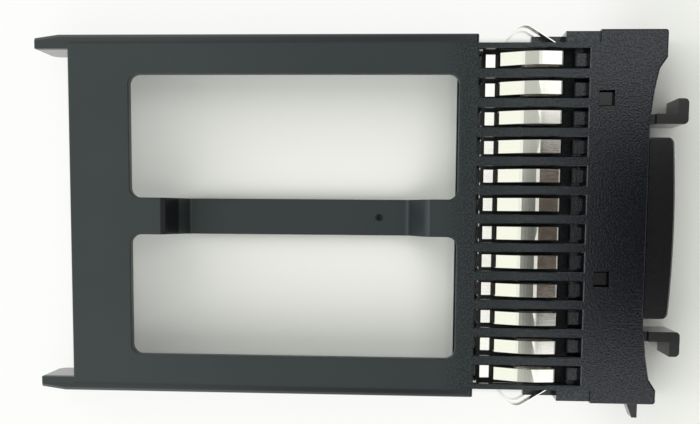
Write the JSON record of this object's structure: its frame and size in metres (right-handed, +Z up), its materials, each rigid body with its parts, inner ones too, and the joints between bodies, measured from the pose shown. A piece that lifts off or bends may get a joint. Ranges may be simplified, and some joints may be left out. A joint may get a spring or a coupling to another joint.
{
  "type": "drive bay filler frame",
  "caption": "Flat black plastic frame that fills an empty drive bay: open windows, side rails, a row of sprung metal contact fingers and a front latch with pinch tabs.",
  "frame": {"origin": "midway along the part, on the plane between the two rails, on the frame's underside", "axes": "+X towards the front with the latch, +Y across the rails towards the wider ear, +Z up out of the face with the windows"},
  "size_m": [0.137, 0.0826, 0.014],
  "materials": {
    "grained_plastic": "fine spark-eroded grain, charcoal black",
    "spring_steel": "bright rolled strip",
    "smooth_plastic": "smooth satin black"
  },
  "bodies": {
    "root": {"frame": "grained_plastic", "contact_spring": "spring_steel", "latch_insert": "smooth_plastic"}
  },
  "joints": []
}
